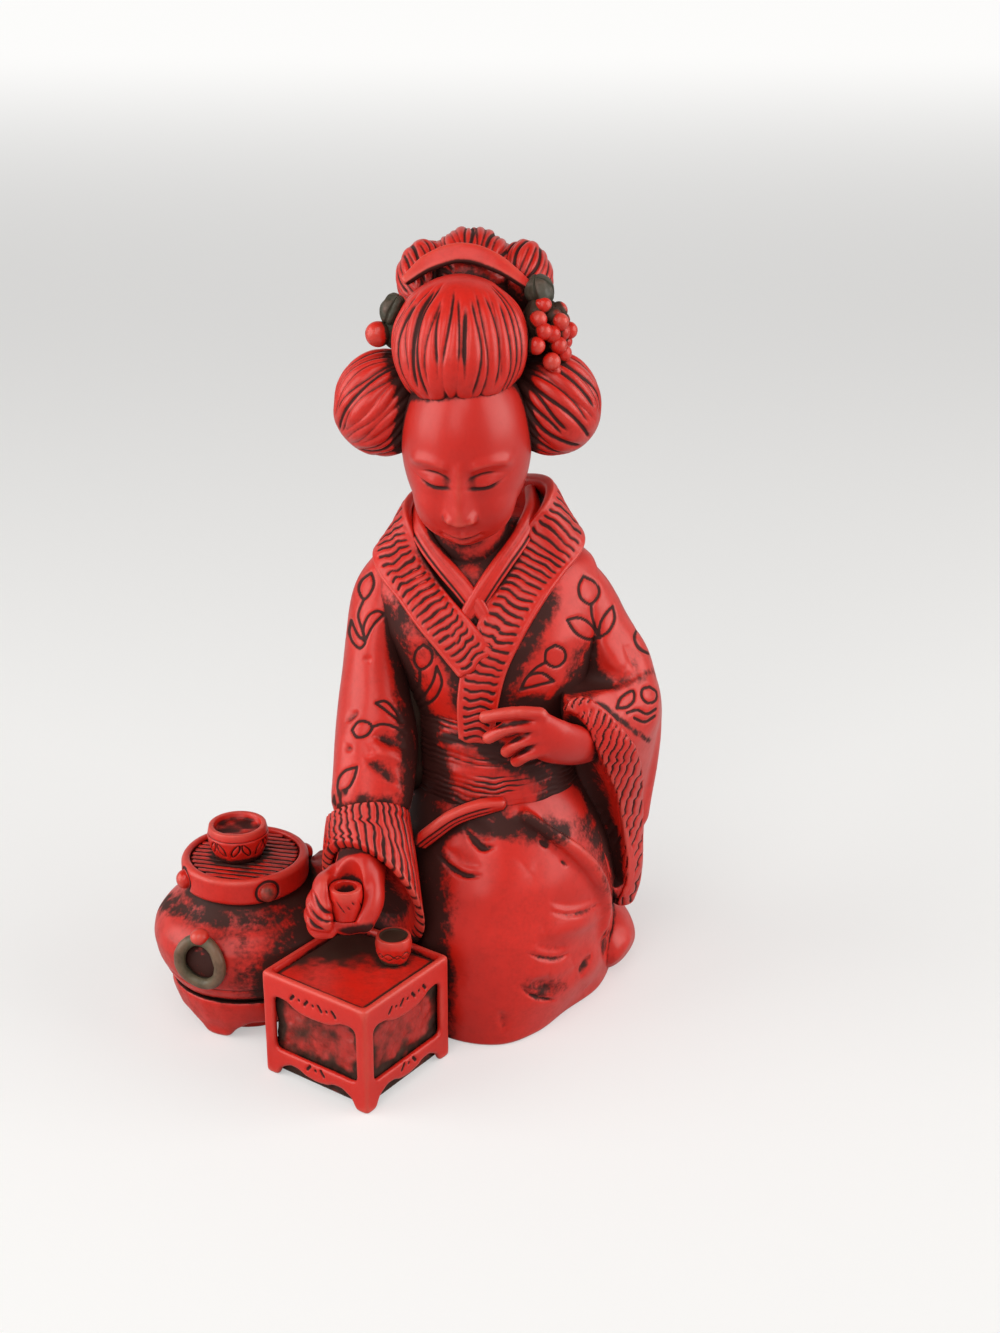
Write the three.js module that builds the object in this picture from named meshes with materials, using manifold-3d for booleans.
// A kneeling tea hostess with her charcoal brazier and low tea table, cast in red resin.
// +Z is up, she faces -Y, and the origin is on the resting plane under her lap.
// All sizes are in millimetres and all angles in degrees.
import * as THREE from 'three';
import { mergeVertices } from 'three/addons/utils/BufferGeometryUtils.js';
import { LoftGeometry } from 'three/addons/geometries/LoftGeometry.js';
import Module from 'manifold-3d';

const wasm = await Module();
wasm.setup();

// Fit
const clearance = 0.3;

// Tea table
const tableX = -35.6;
const tableY = -49.8;
const tableYaw = 54;
const tableWidth = 32.8;
const tableDepth = 33;
const tableHeight = 29;
const tableRim = 2;
const tableTrayDepth = 1.4;
const tableTrayThickness = 2.2;
const tableFootWidth = 3.4;
const tableArchHeight = 4.4;
const windowSide = 3.6;
const windowBottom = 8;
const windowTop = 6.2;
const windowScallop = 2.4;
const panelInset = 1.5;
const coreLift = 0.5;

// Brazier
const brazierX = -65.5;
const brazierY = -22;
const potBellyRadius = 24.3;
const potBellyHeight = 24.5;
const potFootRadius = 18.6;
const potFootHeight = 12;
const potNeckRadius = 14.5;
const potTop = 38;
const bandRadius = 16.2;
const bandHeight = 7;
const bandWall = 2.2;
const grateRecess = 0.6;
const standRadius = 21;
const standTaper = 3.4;
const standArchHeight = 5;
const standArchDepth = 4;
const standFootWidth = 5;
const standFootTurn = -115;
const studRadius = 2.5;
const studTurn = 27;
const ringRadius = 6;
const ringThickness = 1.5;
const lugRadius = 2;
const handleTurn = -112;
const handleLift = 1.4;

// Cups
const grateCupOffset = -1.5;
const grateCupRadius = 7.8;
const grateCupFoot = 6;
const grateCupHeight = 8.6;
const tableCupRadius = 4.6;
const tableCupHeight = 7;
const heldCupRadius = 4.1;
const heldCupHeight = 8;
const cupWall = 1.1;
const cupSides = 14;
const heldCupX = -37.2;
const heldCupY = -52;
const heldCupZ = 43.4;
const heldCupDepth = 3;
const grateCupDepth = 1.6;
const tableCupFromRight = 8.4;
const tableCupFromFront = 10.8;

// Head and hair
const headX = -8;
const headY = -13;
const headZ = 151;
const headNod = 18;
const headTurn = -5;
const headHalfWidth = 15.6;
const headHalfDepth = 18.5;
const headHalfHeight = 22.5;
const neckRadius = 9.5;
const pompadourHalfWidth = 16.2;
const pompadourHalfDepth = 18;
const pompadourHalfHeight = 15;
const wingHalfWidth = 12.2;
const wingHalfDepth = 14;
const wingHalfHeight = 13;
const bunHalfWidth = 13;
const bunHalfHeight = 14.5;
const bunLobeHalfWidth = 7;
const bunLobeHalfDepth = 10;
const bunLobeHalfHeight = 9;
const hairBackHalfWidth = 19;
const hairBackHalfDepth = 17;
const hairBackHalfHeight = 21;
const chinHalfWidth = 11.6;
const chinHalfDepth = 9.4;
const chinHalfHeight = 9.6;
const leafHalfLength = 3.9;
const leafHalfWidth = 4.4;
const leafHalfThickness = 2.4;
const berryRadius = 2;
const singleBerryRadius = 3.1;
const stalkHalfWidth = 3.2;
const combThickness = 2;
const combHeight = 5;

// Kimono
const collarWidth = 11;
const collarThickness = 4;
const innerCollarWidth = 5;
const innerCollarThickness = 3;
const cuffRelief = 0.9;
const obiBottom = 61;
const obiTop = 83;
const obiOverlap = 5;
const skirtBulge = 30;
const webHeight = 41;
const cuffWall = 2;
const cuffHollowDepth = 6;
const fingerRadius = 1.6;
const palmHalfWidth = 6.4;
const palmHalfHeight = 9;
const heelHalfHeight = 9;
const heelHalfWidth = 11.5;
const heelHalfDepth = 15;

const sidesRound = 10;
const degrees = Math.PI / 180;

// Merges a geometry's shared corners and drops the flat triangles at its poles.
function solidOf(geometry) {
  const bare = new THREE.BufferGeometry();
  bare.setAttribute('position', geometry.getAttribute('position'));
  bare.setIndex(geometry.index);
  const merged = mergeVertices(bare, 1e-4);
  const corners = merged.index.array;
  const kept = [];
  for (let i = 0; i < corners.length; i += 3) {
    const [a, b, c] = [corners[i], corners[i + 1], corners[i + 2]];
    if (a !== b && b !== c && c !== a) kept.push(a, b, c);
  }
  return new wasm.Manifold(new wasm.Mesh({
    numProp: 3,
    vertProperties: new Float32Array(merged.attributes.position.array),
    triVerts: new Uint32Array(kept),
  }));
}

// Keeps the largest body, because a cut can leave crumbs beside it.
function largest(solid) {
  const bodies = solid.decompose();
  bodies.sort((a, b) => b.volume() - a.volume());
  return bodies[0];
}

// An ellipsoid that can lean and turn, grown outwards on every side.
function egg(centre, radii, grow = 0, turn = [0, 0, 0], sides = sidesRound) {
  const ball = new THREE.SphereGeometry(1, sides, Math.round(sides * 0.55));
  ball.rotateX(Math.PI / 2);
  ball.scale(radii[0] + grow, radii[1] + grow, radii[2] + grow);
  ball.rotateX(turn[0] * degrees);
  ball.rotateY(turn[1] * degrees);
  ball.rotateZ(turn[2] * degrees);
  ball.translate(...centre);
  return solidOf(ball);
}

// A limb or band swept through stations [x, y, z, half width, half thickness].
// Its width lies along one reference direction, or along one for each station, and its ends are domed.
function limb(stations, grow = 0, { reference = [1, 0, 0], sides = sidesRound, steps = 2, power = 2 } = {}) {
  const path = new THREE.CatmullRomCurve3(stations.map((s) => new THREE.Vector3(s[0], s[1], s[2])));
  const size = new THREE.CatmullRomCurve3(stations.map((s) => new THREE.Vector3(s[3], s[4], 0)));
  const directions = Array.isArray(reference[0]) ? reference : stations.map(() => reference);
  const facing = new THREE.CatmullRomCurve3(directions.map((d) => new THREE.Vector3(...d)));
  const still = directions.every((d) => d === directions[0]);
  const count = (stations.length - 1) * steps;
  const rings = [];
  const ring = (t, scale, shift) => {
    const tangent = path.getTangent(t).normalize();
    const refer = still ? new THREE.Vector3(...directions[0]) : facing.getPoint(t);
    const across = refer.clone().addScaledVector(tangent, -refer.dot(tangent)).normalize();
    const { x: width, y: thickness } = size.getPoint(t);
    const through = new THREE.Vector3().crossVectors(tangent, across);
    const domed = Math.min(width, thickness) + grow;
    const centre = path.getPoint(t).addScaledVector(tangent, shift * domed);
    const points = [];
    for (let k = 0; k < sides; k += 1) {
      const angle = (k / sides) * 2 * Math.PI;
      const [c, s] = [Math.cos(angle), Math.sin(angle)];
      const u = Math.sign(c) * Math.abs(c) ** (2 / power) * (width + grow) * scale;
      const v = Math.sign(s) * Math.abs(s) ** (2 / power) * (thickness + grow) * scale;
      points.push(centre.clone().addScaledVector(across, u).addScaledVector(through, v));
    }
    rings.push(points);
  };
  ring(0, 0.5, -1);
  for (let i = 0; i <= count; i += 1) ring(i / count, 1, 0);
  ring(1, 0.5, 1);
  return solidOf(new LoftGeometry(rings, { capStart: true, capEnd: true }));
}

// A body stacked from level outlines {z, plan}, each plan a closed curve through [x, y] points.
function tower(levels, grow = 0, sides = 16) {
  const rings = levels.map(({ z, plan }, level) => {
    const curve = new THREE.CatmullRomCurve3(plan.map(([x, y]) => new THREE.Vector3(x, y, 0)), true);
    const points = curve.getPoints(sides).slice(0, sides);
    let lift = 0;
    if (level === 0) lift = -grow;
    if (level === levels.length - 1) lift = grow;
    return points.map((point, k) => {
      const before = points[(k + sides - 1) % sides];
      const after = points[(k + 1) % sides];
      const outward = new THREE.Vector3(after.y - before.y, before.x - after.x, 0).normalize();
      return point.clone().addScaledVector(outward, grow).setZ(z + lift);
    });
  });
  return solidOf(new LoftGeometry(rings, { capStart: true, capEnd: true }));
}

// The plan of an ellipse as eight points for a tower level, its long axis turned by yaw.
function oval(x, y, halfWidth, halfDepth, yaw = 0) {
  const plan = [];
  for (let k = 0; k < 8; k += 1) {
    const [u, v] = [halfWidth * Math.cos(k * 45 * degrees), halfDepth * Math.sin(k * 45 * degrees)];
    const [c, s] = [Math.cos(yaw * degrees), Math.sin(yaw * degrees)];
    plan.push([x + u * c - v * s, y + u * s + v * c]);
  }
  return plan;
}

// A turned body from its half profile of [radius, z] points, which starts and ends on the axis.
function turned(profile, x, y, grow = 0, sides = 24) {
  const lowest = Math.min(...profile.map(([, z]) => z));
  const highest = Math.max(...profile.map(([, z]) => z));
  const points = profile.map(([radius, z]) => {
    let lift = 0;
    if (z === lowest) lift = -grow;
    if (z === highest) lift = grow;
    return new THREE.Vector2(radius > 0 ? radius + grow : 0, z + lift);
  });
  const body = new THREE.LatheGeometry(points, sides);
  body.rotateX(Math.PI / 2);
  body.translate(x, y, 0);
  return solidOf(body);
}

function joined(...solids) {
  return solids.reduce((sum, solid) => sum.add(solid));
}

// Places a point given from the head's centre, so that the hair follows the head.
function onHead(right, back, up) {
  return [headX + right, headY + back, headZ + up];
}

// Ornaments in the hair
function combForm(grow) {
  const half = combHeight / 2;
  return limb([
    [...onHead(-14.2, 8.6, 37.2), 1.2, combThickness / 2],
    [...onHead(-8.2, 9.6, 41.4), half * 0.9, combThickness / 2],
    [...onHead(-0.6, 10.4, 43.2), half, combThickness / 2],
    [...onHead(7, 9.4, 41), half * 0.9, combThickness / 2],
    [...onHead(14.2, 8.2, 36.2), 1.2, combThickness / 2],
  ], grow, { reference: [0, 0.55, 0.83], sides: 10, power: 3.2 });
}

function leafLeftForm(grow) {
  const radii = [leafHalfThickness * 1.2, leafHalfWidth, leafHalfLength];
  return joined(
    egg(onHead(-17.4, 5.4, 30.8), radii, grow, [0, 20, 0], 10),
    egg(onHead(-17.2, 7, 25.8), [stalkHalfWidth, stalkHalfWidth * 1.3, stalkHalfWidth * 1.5], grow, [0, 0, 0], 8),
  );
}

function leafRightForm(grow) {
  const radii = [leafHalfThickness * 1.5, leafHalfWidth, leafHalfLength];
  return egg(onHead(17.4, 8.5, 34.6), radii, grow, [0, -20, 0], 8);
}

function berryLeftForm(grow) {
  const size = singleBerryRadius;
  return egg(onHead(-20.9, 4.5, 25.1), [size, size, size], grow, [0, 0, 0], 10);
}

function berriesRightForm(grow) {
  const places = [
    [17, 1, 29.2], [16.5, -1, 23.5], [20.2, -0.6, 19.6], [20.7, 5, 29.2], [20.2, 2, 25.6], [18.2, 5, 31.7],
    [22.6, 5, 25.5], [23, 4, 20.6], [22, 8, 30], [23.2, 8, 22.6], [22.6, 9, 27.4],
  ];
  const clump = [berryRadius * 2.2, berryRadius * 3, berryRadius * 3.4];
  const stalks = egg(onHead(20, 8, 26), clump, grow, [0, 0, 0], 8);
  const rootRadii = [stalkHalfWidth, berryRadius * 2.4, berryRadius * 3];
  const root = egg(onHead(16.4, 6.4, 27), rootRadii, grow, [0, 0, 0], 8);
  const ball = [berryRadius, berryRadius, berryRadius];
  return joined(stalks, root, ...places.map((place) => egg(onHead(...place), ball, grow, [0, 0, 0], 8)));
}

// Head, neck and hair
function headForm(grow) {
  const lean = [headNod, 0, headTurn];
  return joined(
    egg(onHead(0, 0, 0), [headHalfWidth, headHalfDepth, headHalfHeight], grow, lean, 16),
    egg(onHead(0, -5.5, -13.5), [chinHalfWidth, chinHalfDepth, chinHalfHeight], grow, lean, 12),
    limb([
      [...onHead(0.2, -17.6, 2), 1.2, 1],
      [...onHead(-0.2, -20.4, -5.5), 2.3, 1.9],
    ], grow, { sides: 8 }),
  );
}

function hairFrontForm(grow) {
  const radii = [pompadourHalfWidth, pompadourHalfDepth, pompadourHalfHeight];
  return egg(onHead(-1.4, -0.5, 24), radii, grow, [headNod, 0, headTurn], 16);
}

function hairWingForm(side, grow) {
  const radii = [wingHalfWidth, wingHalfDepth, wingHalfHeight];
  return egg(onHead(side * 20.2, 9, 7.5), radii, grow, [0, side * -18, 0], 12);
}

function bunForm(grow) {
  return egg(onHead(1, 22, 33), [bunHalfWidth, bunHalfWidth, bunHalfHeight], grow, [0, 0, 0], 12);
}

function bunLobeForm(side, grow) {
  const radii = [bunLobeHalfWidth, bunLobeHalfDepth, bunLobeHalfHeight];
  return egg(onHead(1.8 + side * 12.3, 21, 35.5), radii, grow, [0, side * -12, 0], 12);
}

function hairBackForm(grow) {
  const radii = [hairBackHalfWidth, hairBackHalfDepth, hairBackHalfHeight];
  return egg(onHead(0, 17, 9), radii, grow, [0, 0, 0], 12);
}

function neckForm(grow) {
  return limb([
    [...onHead(0, 4, -14), neckRadius, neckRadius],
    [headX + 1, -6, 122, neckRadius, neckRadius],
    [headX + 2, -5, 110, neckRadius + 2, neckRadius + 1],
  ], grow, { steps: 2 });
}

// Collars: each band's width points from its inner edge down to its outer edge.
const innerCollarLeft = [
  [8, 5, 132.6],
  [8.2, -3.4, 130.6],
  [5, -10.4, 126],
  [0.8, -15.8, 121.4],
  [-3.6, -20.6, 116.2],
  [-7.6, -23.6, 110.6],
];
const innerCollarRight = [
  [-21, 5, 129.4],
  [-20.6, -4.4, 127.8],
  [-17.4, -11.4, 124],
  [-13.4, -16, 120],
  [-8.6, -20.6, 115.4],
  [-4.4, -23.6, 111],
];
const collarLeft = [
  [-7, 17, 127],
  [5, 13, 130],
  [13.6, 3.4, 131.4],
  [15, -5.6, 127.2],
  [10, -11.6, 121.4],
  [5.4, -17.8, 115.2],
  [1, -23.4, 108.4],
  [-3.4, -27.8, 99.6],
  [-5.4, -30, 90.6],
  [-5.8, -30.4, 81.5],
];
const collarLeftFlare = [1, 1, 1.1, 1.34, 1.34, 1.2, 1.08, 1, 0.92, 0.8];
const collarLeftRise = [0.07, 0.07, 0.07, 0, -0.3, -0.5, -0.42, -0.2, -0.05, 0];
const collarRight = [
  [-9, 17, 126.6],
  [-18, 13.4, 127.4],
  [-23.6, 5, 127],
  [-26.2, -3.6, 124],
  [-25, -9.8, 119.8],
  [-20.8, -15.4, 115],
  [-16.2, -20.6, 110.2],
  [-11, -25, 105.4],
  [-6, -28, 100],
];
const collarRightFlare = [1, 1, 1.05, 1.2, 1.1, 1, 1, 1, 1];
const collarRightRise = [0.07, 0.07, 0.07, 0, -0.12, -0.2, -0.2, -0.12, 0];
const innerCollarRise = 0.07;

// A band along the path, its outer edge on the given side (1 right, -1 left).
function collarBand(path, side, halfWidth, halfThickness, flare, rise, grow) {
  const last = path.length - 1;
  const stations = path.map(([x, y, z], k) => [x, y, z, halfWidth * (flare ? flare[k] : 1), halfThickness]);
  const reference = path.map(([, y], k) => {
    const front = THREE.MathUtils.clamp((4 - y) / 16, 0, 1);
    const fall = k === last ? -0.1 : -0.47;
    const forward = rise ? rise[k] : innerCollarRise;
    return [side * THREE.MathUtils.lerp(0.35, 0.88, front), forward, THREE.MathUtils.lerp(-0.9, fall, front)];
  });
  return limb(stations, grow, { reference, power: 2.8 });
}

function innerCollarLeftForm(grow) {
  return collarBand(innerCollarLeft, 1, innerCollarWidth / 2, innerCollarThickness / 2, null, null, grow);
}

function innerCollarRightForm(grow) {
  return collarBand(innerCollarRight, -1, innerCollarWidth / 2, innerCollarThickness / 2, null, null, grow);
}

function collarLeftForm(grow) {
  const half = collarWidth / 2;
  const thin = collarThickness / 2;
  return collarBand(collarLeft, 1, half, thin, collarLeftFlare, collarLeftRise, grow);
}

function collarRightForm(grow) {
  const half = collarWidth / 2;
  const thin = collarThickness / 2;
  return collarBand(collarRight, -1, half, thin, collarRightFlare, collarRightRise, grow);
}

// Trunk
function torsoForm(grow) {
  return tower([
    { z: obiTop - 4, plan: oval(-0.5, -7, 21, 19.6) },
    { z: 92, plan: oval(-1, -8, 24, 21) },
    { z: 103, plan: oval(-2.5, -7, 28, 20.5) },
    { z: 112, plan: oval(-3.5, -5, 29.5, 18) },
    { z: 119, plan: oval(-4, -2.5, 27.5, 15) },
    { z: 124.5, plan: oval(-5, -0.5, 21, 12.5) },
    { z: 128.5, plan: oval(-6, 1, 14, 9.5) },
  ], grow);
}

function obiForm(grow) {
  return tower([
    { z: obiBottom, plan: oval(-1, -7.5, 22.5, 24) },
    { z: obiBottom + 6, plan: oval(-1, -7.5, 22, 23.5) },
    { z: obiTop - 6, plan: oval(-1, -7.5, 21.4, 21.6) },
    { z: obiTop, plan: oval(-1, -7.5, 20.6, 20) },
  ], grow);
}

function obiKnotForm(grow) {
  return limb([
    [-18, 18, 76, 10, 6],
    [-8, 20.5, 75, 11, 7.5],
    [6, 20.5, 75, 11, 7.5],
    [16, 18, 76, 10, 6],
  ], grow, { reference: [0, 0, 1], power: 3 });
}

function obiTieForm(grow) {
  return limb([
    [0, -31.4, 63.5, 1.8, 1.6],
    [-5.6, -33.2, 63, 2.6, 1.6],
    [-11.5, -34.6, 61.2, 2.6, 1.5],
    [-16.5, -34.4, 57.2, 2.6, 1.4],
    [-20, -33.4, 53.6, 2.4, 1.2],
  ], grow, { reference: [0, -0.45, 0.9], sides: 10, power: 2.6 });
}

// Sleeves, cuffs and hands
const rightArm = [
  [-22, -2, 116, 9.5, 9],
  [-28.2, -3.5, 108, 9, 10.5],
  [-31.2, -7.5, 97, 8, 11.5],
  [-31.4, -13, 85.5, 9.2, 11.5],
  [-31.2, -20.5, 75, 10.6, 11],
  [-32, -28, 64, 10.3, 9.5],
];

// The cuff's rings: its middle, and the reaches across it and through it to its edge.
const rightCuff = [
  { at: [-33, -30.4, 59.2], across: [9.5, 0.6, 0.3], through: [0.9, -8.5, 8] },
  { at: [-32.3, -34.4, 50.8], across: [10.8, -1, -3.2], through: [1.3, -8.9, 11.8] },
  { at: [-31.6, -38.8, 41.8], across: [12, -3.2, -7.1], through: [1.8, -8.9, 16] },
];

// A tube with skewed rings, thickened or thinned by grow.
function skewed(frames, grow, sides = 14) {
  const rings = frames.map(({ at, across, through }) => {
    const [u, v] = [new THREE.Vector3(...across), new THREE.Vector3(...through)];
    const [uLength, vLength] = [u.length(), v.length()];
    const points = [];
    for (let k = 0; k < sides; k += 1) {
      const angle = (k / sides) * 2 * Math.PI;
      points.push(new THREE.Vector3(...at)
        .addScaledVector(u, Math.cos(angle) * (1 + grow / uLength))
        .addScaledVector(v, Math.sin(angle) * (1 + grow / vLength)));
    }
    return points;
  });
  const shift = (frame, from) => {
    const along = new THREE.Vector3(...frame.at).sub(new THREE.Vector3(...from.at));
    return along.setLength(grow);
  };
  if (grow > 0) {
    const start = shift(frames[0], frames[1]);
    const end = shift(frames[frames.length - 1], frames[frames.length - 2]);
    rings[0].forEach((point) => point.add(start));
    rings[rings.length - 1].forEach((point) => point.add(end));
  }
  return solidOf(new LoftGeometry(rings, { capStart: true, capEnd: true }));
}

function sleeveRightForm(grow) {
  return limb(rightArm, grow, { sides: 12 });
}

function cuffRightForm(grow) {
  return skewed(rightCuff, grow + cuffRelief);
}

function cuffRightMouth() {
  const [, middle, mouth] = rightCuff;
  const outward = new THREE.Vector3(...mouth.at).sub(new THREE.Vector3(...middle.at)).normalize();
  const moved = (distance) => new THREE.Vector3(...mouth.at).addScaledVector(outward, distance).toArray();
  return skewed([
    { ...mouth, at: moved(-cuffHollowDepth) },
    { ...mouth, at: moved(2) },
  ], -cuffWall);
}

// A finger bent through its joints at [x, y, z], all of one radius.
function finger(joints, radius, grow) {
  return limb(joints.map((joint) => [...joint, radius, radius]), grow, { sides: 6 });
}

function handRightForm(grow) {
  const wrist = [
    [-33, -36, 57, palmHalfWidth - 0.4, 5],
    [-34, -42, 53, palmHalfWidth - 0.4, 5],
  ];
  const heel = [
    [-31, -46, 51.4, 2.4, 3.8],
    [-30.8, -50.4, 46.6, 2.6, 4],
    [-33, -53, 42.2, 2.6, 3.4],
  ];
  const thick = fingerRadius + 0.1;
  const rim = heldCupZ + heldCupHeight;
  const reach = heldCupRadius + clearance - grow;
  const profile = [[0, rim - 2], [reach, rim - 2], [reach, rim + 8], [0, rim + 8]];
  const overCup = turned(profile, heldCupX, heldCupY, 0, cupSides);
  const flesh = joined(
    egg([-34.8, -45.2, 49], [palmHalfWidth, palmHalfWidth + 0.8, palmHalfHeight + 1], grow, [-20, 12, 0]),
    egg([-37, -50, 41.8], [palmHalfWidth - 0.8, palmHalfWidth - 1.2, palmHalfHeight * 0.42], grow),
    egg([-42.2, -50, 45.8], [3.6, 5.8, 7.8], grow),
    limb(wrist, grow),
    finger([[-40.4, -45.6, 52], [-43.4, -50.4, 50.6], [-42, -55, 47.6]], thick, grow),
    finger([[-41, -45.6, 48.6], [-45.2, -50.4, 46.8], [-44.4, -54, 45.2], [-41.8, -56, 44.6]], thick, grow),
    finger([[-41, -45.6, 45.4], [-45.8, -50.4, 43.6], [-44.8, -54, 42.6], [-41.8, -55.6, 42.8]], thick, grow),
    finger([[-40.6, -45.4, 42.8], [-45.4, -49.8, 40.6], [-44.2, -53.4, 39.8], [-41.2, -54.6, 40.4]], thick, grow),
    limb(heel, grow, { sides: 8 }),
  );
  return flesh.subtract(overCup);
}

function cupForm(x, y, z, radius, foot, height, grow) {
  return turned([
    [0, z], [foot, z], [radius * 0.96, z + height * 0.42], [radius, z + height * 0.72],
    [radius * 0.93, z + height], [0, z + height],
  ], x, y, grow, cupSides);
}

function cupHollow(x, y, z, radius, height, depth) {
  const inner = radius * 0.93 - cupWall;
  const [floor, top] = [z + height - depth, z + height + 1];
  return turned([[0, floor], [inner * 0.9, floor], [inner, top], [0, top]], x, y, 0, cupSides);
}

function heldCupForm(grow) {
  const foot = heldCupRadius * 0.75;
  return cupForm(heldCupX, heldCupY, heldCupZ, heldCupRadius, foot, heldCupHeight, grow);
}

function heldCupHollow() {
  return cupHollow(heldCupX, heldCupY, heldCupZ, heldCupRadius, heldCupHeight, heldCupDepth);
}

const leftBag = [
  { z: 21, plan: oval(33.4, -3, 2.6, 2, 60) },
  { z: 25, plan: oval(33.2, -3.6, 6, 3, 60) },
  { z: 32, plan: oval(32.2, -4.4, 9, 4.2, 60) },
  { z: 43, plan: oval(31, -6.4, 11.5, 4.8, 61) },
  { z: 54, plan: oval(30, -8.6, 14.4, 5.8, 61) },
  { z: 66, plan: oval(29.4, -11, 17, 7.6, 60) },
  { z: 76, plan: oval(29, -12.6, 18.4, 9.2, 60) },
  { z: 84, plan: oval(27, -13, 18.6, 8.6, 60) },
  { z: 90, plan: oval(25, -12.5, 16.5, 6.6, 60) },
];

const leftArm = [
  [13, -2, 115, 8, 9],
  [19.5, -2, 107.5, 9, 11],
  [24.6, -2.6, 98, 9, 12],
  [29, -3.6, 89.5, 9.8, 13],
  [31.6, -5, 81, 10, 13],
];

// Folds that hang down the back of the sleeve
const leftSleeveFolds = [
  [
    [20, 7.4, 109, 2.2, 2],
    [26, 8.6, 97, 2.8, 2.4],
    [31.4, 7.2, 84, 3, 2.8],
    [34.8, 3.6, 68, 2.8, 2.8],
    [36.2, 3.6, 50, 2, 1.8],
    [35.4, 1.8, 36, 1.4, 1.4],
  ],
  [
    [27.6, 4, 104, 2, 2],
    [34, 5.4, 92, 2.4, 2.2],
    [38.6, 0.4, 78, 2.6, 2.4],
    [38.4, -1.4, 62, 2.6, 2.4],
    [36.8, -1.4, 46, 2, 1.8],
  ],
];

function sleeveLeftForm(grow) {
  const folds = leftSleeveFolds.map((path) => limb(path, grow, { sides: 8 }));
  return joined(tower(leftBag, grow), limb(leftArm, grow, { sides: 12 }), ...folds);
}

const leftMouth = [
  [15, -33, 82, 7, 8],
  [19, -28, 72, 6, 9],
  [24.5, -22, 60, 4.8, 8],
  [28.6, -17, 48, 3.6, 7],
  [31, -13, 38, 2.6, 6],
  [32, -10, 29, 1.6, 5],
];

function sleeveLeftMouth(grow) {
  return limb(leftMouth, grow, { reference: [0.83, 0.56, 0], sides: 10 });
}

const leftCuffBand = [
  [20.6, -30, 86, 5.4, 6.4],
  [25, -27, 79, 6, 8],
  [32.5, -21.5, 65, 6.4, 9],
  [36.5, -15, 52, 6, 9],
  [38, -10.5, 40, 5.4, 9],
  [37.6, -8, 29, 5, 9],
  [35, -6, 19, 5, 9],
];

function cuffLeftRegion(grow) {
  return limb(leftCuffBand, grow, { reference: [0.83, 0.56, 0], sides: 10 });
}

function cuffLeftForm(grow) {
  const skin = tower(leftBag, grow + cuffRelief);
  return skin.intersect(cuffLeftRegion(grow)).subtract(sleeveLeftMouth(-grow));
}

function handLeftForm(grow) {
  const back = [
    [25, -16.5, 73.6, 5, 3.6],
    [21.4, -22.6, 75.6, 5.6, 3.8],
    [17.2, -29.4, 78.6, 5.6, 3.8],
    [12.6, -34.2, 82, 5.8, 3.4],
    [8.6, -35.6, 86, 4.6, 2.6],
  ];
  return joined(
    limb(back, grow, { reference: [0.6, 0, 0.8] }),
    finger([[9.6, -36, 89.6], [4, -37.4, 90.6], [-3.6, -35.4, 88.6]], fingerRadius, grow),
    finger([[8, -37, 86.4], [3, -38, 87.2], [-2.8, -36, 83.4]], fingerRadius, grow),
    finger([[8.4, -37, 83.4], [4.6, -37.8, 83], [1.6, -35.6, 79.6]], fingerRadius, grow),
    finger([[10, -36.6, 80.6], [6.6, -37.2, 79.6], [4, -35, 76.8]], fingerRadius, grow),
  );
}

// Lower body: the skirt's outline on the floor, at its widest and at the waist.
const skirtFloor = [
  [0, -42.5], [9.5, -36.5], [17, -26.5], [26.5, -14.5], [31, 2], [29, 22], [17, 35],
  [0, 39], [-17, 35], [-30, 20], [-33, 0], [-28, -22], [-13, -39.5],
];
const skirtWidest = [
  [0, -45], [13, -40], [23.5, -28.5], [29.5, -13], [31, 4], [28.5, 20], [17, 32],
  [0, 36], [-17, 32], [-29.5, 18], [-33, 0], [-29, -24], [-14.5, -42],
];
const skirtWaist = [
  [0, -29], [9, -26.5], [17, -19], [20.5, -8], [21, 1], [17.5, 10], [10.5, 17],
  [0, 19], [-10.5, 17], [-19, 8], [-22, -4], [-19, -17], [-9.5, -26.5],
];

function blended(from, to, share) {
  return from.map(([x, y], k) => [x + (to[k][0] - x) * share, y + (to[k][1] - y) * share]);
}

// Folds that run down the back of the skirt from the sash
const skirtBackFolds = [
  [[-17, 9, 58, 2.4, 2], [-25.4, 17.8, 44, 3.2, 2.4], [-27.6, 20.4, 28, 3.6, 2.6], [-27.4, 21, 10, 3, 2.2]],
  [[-8, 18, 58, 2.4, 2], [-13.8, 29, 43, 3.2, 2.4], [-15, 32, 28, 3.6, 2.6], [-15.2, 33.6, 10, 3, 2.2]],
  [[3, 20, 58, 2.4, 2], [3.6, 31.8, 43, 3.2, 2.4], [3.4, 35.2, 28, 3.6, 2.6], [2.4, 36.6, 10, 3, 2.2]],
  [[13, 14, 58, 2.4, 2], [19.6, 24, 43, 3.2, 2.4], [20.6, 28.6, 28, 3.4, 2.4], [18.6, 30.8, 12, 2.8, 2]],
];

function skirtForm(grow) {
  const rise = (share) => skirtBulge + (obiBottom + obiOverlap - skirtBulge) * share;
  const folds = skirtBackFolds.map((path) => limb(path, grow, { sides: 8 }));
  const lap = tower([
    { z: 0, plan: skirtFloor },
    { z: skirtBulge * 0.4, plan: blended(skirtFloor, skirtWidest, 0.75) },
    { z: skirtBulge, plan: skirtWidest },
    { z: rise(0.36), plan: blended(skirtWidest, skirtWaist, 0.19) },
    { z: rise(0.61), plan: blended(skirtWidest, skirtWaist, 0.44) },
    { z: rise(0.83), plan: blended(skirtWidest, skirtWaist, 0.72) },
    { z: rise(1), plan: skirtWaist },
  ], grow, 26);
  return joined(lap, ...folds);
}

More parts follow.
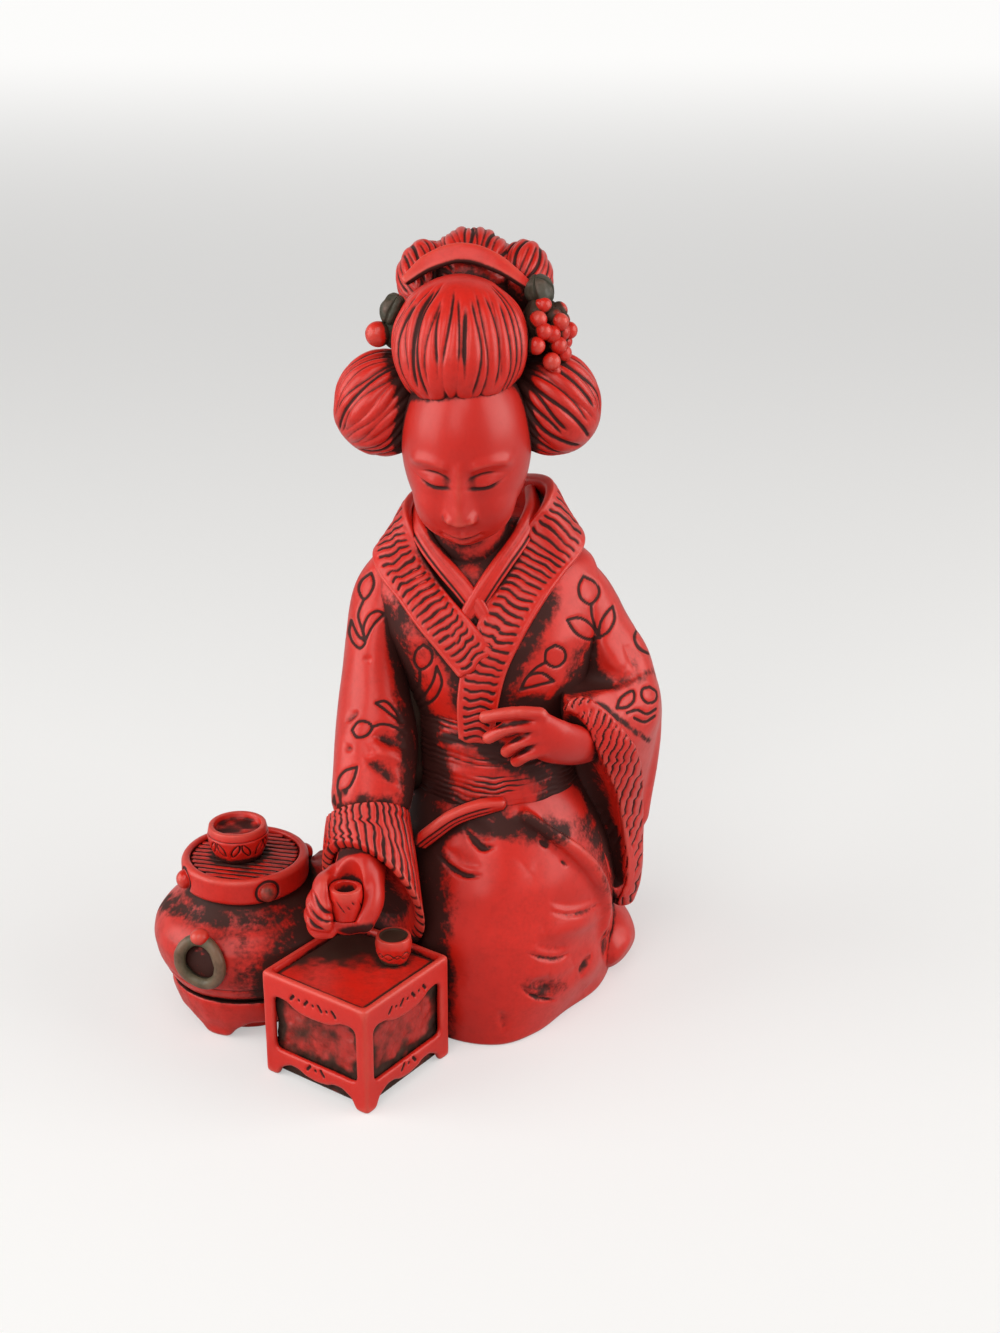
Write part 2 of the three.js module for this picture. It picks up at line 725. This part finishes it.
function skirtFoldForm(grow) {
  return limb([
    [6.4, -33.2, 61, 1.8, 1.3],
    [13.4, -33.6, 56, 1.9, 1.5],
    [20, -30.6, 49, 2, 1.6],
    [25.4, -26.6, 39.6, 2, 1.7],
    [28, -22, 29.4, 1.9, 1.6],
    [27.4, -20, 20, 1.7, 1.4],
  ], grow, { reference: [0.8, 0.4, 0.45], sides: 10 });
}

function feetForm(grow) {
  return joined(
    egg([27, 2, 8.4], [heelHalfWidth - 1.5, heelHalfDepth - 1, heelHalfHeight], grow),
    egg([22, 16, 8.4], [heelHalfWidth + 1.5, heelHalfDepth + 1, heelHalfHeight], grow),
  ).intersect(floorSpace(grow));
}

// Everything above the resting plane.
function floorSpace(grow) {
  const space = new THREE.BoxGeometry(400, 400, 400);
  space.translate(0, 0, 200 - grow);
  return solidOf(space);
}

// Brazier
function potForm(grow) {
  const [r, h] = [potBellyRadius, potBellyHeight];
  return turned([
    [0, potFootHeight], [potFootRadius, potFootHeight], [r * 0.875, potFootHeight + 2.8], [r * 0.965, h - 5],
    [r, h], [r * 0.975, h + 3.4], [r * 0.88, h + 6.6], [r * 0.74, h + 9], [potNeckRadius, potTop - 0.8],
    [potNeckRadius, potTop], [0, potTop],
  ], brazierX, brazierY, grow);
}

function bandForm(grow) {
  const [bottom, top] = [potTop, potTop + bandHeight];
  return turned([
    [0, bottom], [bandRadius - 0.7, bottom], [bandRadius, bottom + 0.8], [bandRadius, top - 0.8],
    [bandRadius - 0.7, top], [0, top],
  ], brazierX, brazierY, grow);
}

function bandHollow() {
  const inner = bandRadius - bandWall;
  const top = potTop + bandHeight;
  return turned([[0, potTop - 1], [inner, potTop - 1], [inner, top + 1], [0, top + 1]], brazierX, brazierY);
}

function grateForm(grow) {
  const inner = bandRadius - bandWall - clearance;
  const [bottom, top] = [potTop + clearance, potTop + bandHeight - grateRecess];
  return turned([[0, bottom], [inner, bottom], [inner, top], [0, top]], brazierX, brazierY, grow);
}

// The cup on the grate, from the grate's own top
const grateCupX = brazierX + grateCupOffset;
const grateCupZ = potTop + bandHeight - grateRecess + clearance;

function grateCupForm(grow) {
  return cupForm(grateCupX, brazierY, grateCupZ, grateCupRadius, grateCupFoot, grateCupHeight, grow);
}

function grateCupHollow() {
  return cupHollow(grateCupX, brazierY, grateCupZ, grateCupRadius, grateCupHeight, grateCupDepth);
}

function studForm(quarter, grow) {
  const angle = (studTurn + quarter * 90) * degrees;
  const [c, s] = [Math.cos(angle), Math.sin(angle)];
  const place = [brazierX + bandRadius * c, brazierY + bandRadius * s, potTop + bandHeight * 0.46];
  return egg(place, [studRadius * 0.75, studRadius, studRadius], grow, [0, 0, studTurn + quarter * 90], 8);
}

function handleForm(opposite, grow) {
  const angle = (handleTurn + opposite * 180) * degrees;
  const [c, s] = [Math.cos(angle), Math.sin(angle)];
  const reach = potBellyRadius;
  const place = (out, across, z) => [brazierX + out * c - across * s, brazierY + out * s + across * c, z];
  const ring = [];
  const middle = potBellyHeight + handleLift;
  for (let k = 0; k < 12; k += 1) {
    const turn = (k / 12) * 2 * Math.PI;
    const drop = middle + ringRadius * Math.cos(turn);
    const [above, below] = [Math.max(0, drop - middle), Math.max(0, middle - drop)];
    const out = reach + 0.6 - above * above * 0.03 - below * below * 0.02;
    ring.push(new THREE.Vector3(...place(out, ringRadius * Math.sin(turn) * 0.95, drop)));
  }
  const path = new THREE.CatmullRomCurve3(ring, true);
  const rings = [];
  for (let i = 0; i < 12; i += 1) {
    const tangent = path.getTangent(i / 12);
    const outward = new THREE.Vector3(c, s, 0);
    const across = new THREE.Vector3().crossVectors(tangent, outward).normalize();
    const radial = new THREE.Vector3().crossVectors(across, tangent).normalize();
    const centre = path.getPoint(i / 12);
    const points = [];
    for (let k = 0; k < 6; k += 1) {
      const turn = (k / 6) * 2 * Math.PI;
      points.push(centre.clone()
        .addScaledVector(across, (ringThickness + grow) * Math.cos(turn))
        .addScaledVector(radial, -(ringThickness + grow) * Math.sin(turn)));
    }
    rings.push(points);
  }
  rings.push(rings[0].map((point) => point.clone()));
  let hoop = solidOf(new LoftGeometry(rings));
  if (hoop.volume() < 0) {
    rings.forEach((points) => points.reverse());
    hoop = solidOf(new LoftGeometry(rings));
  }
  const lug = egg(
    place(reach - 0.2, 0, middle + ringRadius + 1.2),
    [lugRadius * 1.2, lugRadius * 1.2, lugRadius],
    grow,
    [0, 0, 0],
    8,
  );
  return joined(hoop, lug);
}

// A stand turned like a shallow bowl, with an arched recess between each two of its three feet.
function standForm(grow) {
  const foot = standRadius - standTaper;
  const top = potFootHeight + 2.2;
  const apron = turned([
    [0, 0], [foot, 0], [foot + 0.4, 3], [standRadius - 1.6, standArchHeight + 1.5],
    [standRadius - 0.4, potFootHeight - 1], [standRadius, potFootHeight + 1],
    [standRadius - 1, top], [0, top],
  ], brazierX, brazierY, grow);
  const half = foot * Math.sin(60 * degrees) - standFootWidth / 2 - grow;
  const arch = new THREE.Shape();
  arch.moveTo(-half, -1);
  arch.lineTo(half, -1);
  arch.quadraticCurveTo(half - 1.2, standArchHeight * 0.8, half * 0.7, standArchHeight - grow);
  arch.lineTo(-half * 0.7, standArchHeight - grow);
  arch.quadraticCurveTo(-half + 1.2, standArchHeight * 0.8, -half, -1);
  const [inner, roof] = [foot - standArchDepth, standArchHeight + 1];
  const core = turned([[0, coreLift], [inner, coreLift], [inner, roof], [0, roof]], brazierX, brazierY, grow);
  const cuts = [60, 180, 300].map((turn) => {
    const plate = new THREE.ExtrudeGeometry(arch, {
      depth: standRadius * 1.4,
      bevelEnabled: false,
      curveSegments: 2,
    });
    plate.rotateX(Math.PI / 2);
    plate.rotateZ((standFootTurn + turn + 90) * degrees);
    plate.translate(brazierX, brazierY, 0);
    return solidOf(plate);
  });
  return joined(cuts.reduce((left, cut) => left.subtract(cut), apron), core);
}

// Tea table, drawn about its own centre and then turned into place
function tablePlaced(solid) {
  return solid.rotate([0, 0, tableYaw]).translate([tableX, tableY, 0]);
}

function box(width, depth, low, high) {
  const shape = new THREE.BoxGeometry(width, depth, high - low);
  shape.translate(0, 0, (high + low) / 2);
  return solidOf(shape);
}

function tableBlockForm(grow) {
  return tablePlaced(box(tableWidth + 2 * grow, tableDepth + 2 * grow, -grow, tableHeight + grow));
}

// The cut through one side: a window with a scalloped head, and the arched gap between the feet.
function sideCuts(span) {
  const half = span / 2;
  const [left, right] = [-half + windowSide, half - windowSide];
  const [low, high] = [windowBottom, tableHeight - windowTop];
  const window = new THREE.Shape();
  window.moveTo(left + 1, low);
  window.lineTo(right - 1, low);
  window.quadraticCurveTo(right, low, right, low + 1);
  window.lineTo(right, high - 1);
  window.quadraticCurveTo(right, high, right - 2, high);
  window.quadraticCurveTo(right * 0.62, high, right * 0.52, high - windowScallop * 0.6);
  window.quadraticCurveTo(right * 0.4, high - windowScallop, 0, high - windowScallop);
  window.quadraticCurveTo(left * 0.4, high - windowScallop, left * 0.52, high - windowScallop * 0.6);
  window.quadraticCurveTo(left * 0.62, high, left + 2, high);
  window.quadraticCurveTo(left, high, left, high - 1);
  window.lineTo(left, low + 1);
  window.quadraticCurveTo(left, low, left + 1, low);
  const arch = new THREE.Shape();
  const foot = half - tableFootWidth;
  arch.moveTo(-foot, -1);
  arch.lineTo(foot, -1);
  arch.quadraticCurveTo(foot - 1.4, tableArchHeight * 0.9, foot * 0.62, tableArchHeight);
  arch.quadraticCurveTo(foot * 0.4, tableArchHeight * 1.05, foot * 0.28, tableArchHeight * 0.74);
  arch.quadraticCurveTo(0, tableArchHeight * 0.5, -foot * 0.28, tableArchHeight * 0.74);
  arch.quadraticCurveTo(-foot * 0.4, tableArchHeight * 1.05, -foot * 0.62, tableArchHeight);
  arch.quadraticCurveTo(-foot + 1.4, tableArchHeight * 0.9, -foot, -1);
  return [window, arch];
}

function throughSide(shape, length) {
  const plate = new THREE.ExtrudeGeometry(shape, { depth: length, bevelEnabled: false, curveSegments: 2 });
  plate.rotateX(Math.PI / 2);
  plate.translate(0, length / 2, 0);
  return solidOf(plate);
}

function tableFrameSolid() {
  const inner = panelInset + clearance;
  const wall = box(tableWidth, tableDepth, 0, tableHeight);
  const trayBottom = tableHeight - tableTrayDepth - tableTrayThickness;
  const core = box(tableWidth - 2 * inner, tableDepth - 2 * inner, -1, trayBottom - clearance);
  const [trayWidth, trayDepth] = [tableWidth - 2 * tableRim, tableDepth - 2 * tableRim];
  const tray = box(trayWidth, trayDepth, trayBottom - 2 * clearance, tableHeight + 1);
  const across = sideCuts(tableWidth).map((shape) => throughSide(shape, tableDepth + 2));
  const along = sideCuts(tableDepth).map((shape) => throughSide(shape, tableWidth + 2).rotate([0, 0, 90]));
  const cuts = [core, tray, ...across, ...along];
  return tablePlaced(cuts.reduce((left, cut) => left.subtract(cut), wall));
}

function tableCoreSolid() {
  const high = tableHeight - tableTrayDepth - tableTrayThickness - clearance * 2;
  const inset = 2 * panelInset + 4 * clearance;
  return tablePlaced(box(tableWidth - inset, tableDepth - inset, coreLift, high));
}

function tableTraySolid() {
  const inset = 2 * tableRim + 2 * clearance;
  const top = tableHeight - tableTrayDepth;
  return tablePlaced(box(tableWidth - inset, tableDepth - inset, top - tableTrayThickness, top));
}

function onTable(along, across) {
  const [c, s] = [Math.cos(tableYaw * degrees), Math.sin(tableYaw * degrees)];
  return [tableX + along * c - across * s, tableY + along * s + across * c];
}

function tableCupSolid() {
  const [x, y] = onTable(tableWidth / 2 - tableCupFromRight, tableCupFromFront - tableDepth / 2);
  const foot = tableHeight - tableTrayDepth + clearance;
  return cupForm(x, y, foot, tableCupRadius, tableCupRadius * 0.72, tableCupHeight, 0);
}

// The stand's whole outline, so that nothing else fills the space under it.
function standSpace() {
  const [reach, top] = [standRadius - 1.6 + clearance, potFootHeight];
  return turned([[0, -1], [reach, -1], [reach, top], [0, top]], brazierX, brazierY);
}

// The mass between the brazier, the table and the lap
const webFloor = [
  [-50, -18], [-44, -24], [-36, -28], [-26, -30], [-16, -30],
  [-18, -20], [-28, 6], [-40, 4], [-50, -4],
];
const webTop = [
  [-49, -21], [-43, -25], [-36, -28], [-28, -30], [-23, -27],
  [-23, -17], [-29, -6], [-40, -8], [-50, -15],
];

function webForm(grow) {
  const web = tower([
    { z: 0, plan: webFloor },
    { z: webHeight * 0.55, plan: blended(webFloor, webTop, 0.15) },
    { z: webHeight * 0.85, plan: blended(webFloor, webTop, 0.6) },
    { z: webHeight, plan: webTop },
  ], grow, 18);
  return web.subtract(standSpace());
}

const red = { color: 0xcc0d08, roughness: 0.28, metalness: 0 };
const deepRed = { color: 0x9c0a08, roughness: 0.34, metalness: 0 };
const patina = { color: 0x2c2620, roughness: 0.5, metalness: 0 };

// Each form is cut by every form that stands before it in this list, with the clearance between them.
const forms = [
  ['table_block', red, tableBlockForm],
  ['comb', red, combForm],
  ['berries_right', red, berriesRightForm],
  ['berry_left', red, berryLeftForm],
  ['leaf_left', patina, leafLeftForm],
  ['leaf_right', patina, leafRightForm],
  ['head', red, headForm],
  ['hair_front', red, hairFrontForm],
  ['hair_wing_left', red, (grow) => hairWingForm(-1, grow)],
  ['hair_wing_right', red, (grow) => hairWingForm(1, grow)],
  ['bun_lobe_left', red, (grow) => bunLobeForm(-1, grow)],
  ['bun_lobe_right', red, (grow) => bunLobeForm(1, grow)],
  ['hair_bun', red, bunForm],
  ['hair_back', red, hairBackForm],
  ['neck', red, neckForm],
  ['collar_left', red, collarLeftForm],
  ['collar_right', red, collarRightForm],
  ['inner_collar_left', deepRed, innerCollarLeftForm],
  ['inner_collar_right', deepRed, innerCollarRightForm],
  ['held_cup', red, heldCupForm, heldCupHollow],
  ['hand_right', red, handRightForm],
  ['hand_left', red, handLeftForm],
  ['cuff_right', red, cuffRightForm, cuffRightMouth],
  ['cuff_left', red, cuffLeftForm],
  ['sleeve_right', red, sleeveRightForm],
  ['sleeve_left', red, sleeveLeftForm, () => sleeveLeftMouth(0)],
  ['obi_tie', red, obiTieForm],
  ['obi_knot', red, obiKnotForm],
  ['obi', red, obiForm],
  ['torso', red, torsoForm],
  ['skirt_fold', red, skirtFoldForm],
  ['skirt', red, skirtForm],
  ['feet', red, feetForm],
  ['grate_cup', red, grateCupForm, grateCupHollow],
  ['brazier_grate', patina, grateForm],
  ['stud_0', red, (grow) => studForm(0, grow)],
  ['stud_1', red, (grow) => studForm(1, grow)],
  ['stud_2', red, (grow) => studForm(2, grow)],
  ['stud_3', red, (grow) => studForm(3, grow)],
  ['brazier_band', red, bandForm, bandHollow],
  ['ring_handle_0', patina, (grow) => handleForm(0, grow)],
  ['ring_handle_1', patina, (grow) => handleForm(1, grow)],
  ['brazier_pot', red, potForm],
  ['brazier_stand', red, standForm],
  ['base_web', patina, webForm],
];

const group = new THREE.Group();

function addMesh(name, look, solid) {
  const { vertProperties, triVerts } = solid.getMesh();
  const geometry = new THREE.BufferGeometry();
  geometry.setAttribute('position', new THREE.BufferAttribute(vertProperties, 3));
  geometry.setIndex(new THREE.BufferAttribute(triVerts, 1));
  geometry.computeVertexNormals();
  const mesh = new THREE.Mesh(geometry, new THREE.MeshStandardMaterial(look));
  mesh.name = name;
  group.add(mesh);
}

function boxesMeet(a, b) {
  return [0, 1, 2].every((axis) => a.min[axis] < b.max[axis] && b.min[axis] < a.max[axis]);
}

const cutters = [];
for (const [name, look, form, hollow] of forms) {
  const whole = form(0);
  const bounds = whole.boundingBox();
  const touching = cutters.filter((cutter) => boxesMeet(bounds, cutter.bounds));
  let solid = touching.reduce((left, cutter) => left.subtract(cutter.solid), whole);
  if (hollow) solid = solid.subtract(hollow());
  const grown = form(clearance);
  cutters.push({ solid: grown, bounds: grown.boundingBox() });
  if (name === 'table_block') continue;
  addMesh(name, look, largest(solid));
}

addMesh('table_frame', red, largest(tableFrameSolid()));
addMesh('table_core', patina, tableCoreSolid());
addMesh('table_tray', deepRed, tableTraySolid());
addMesh('table_cup', red, tableCupSolid());

export default group;
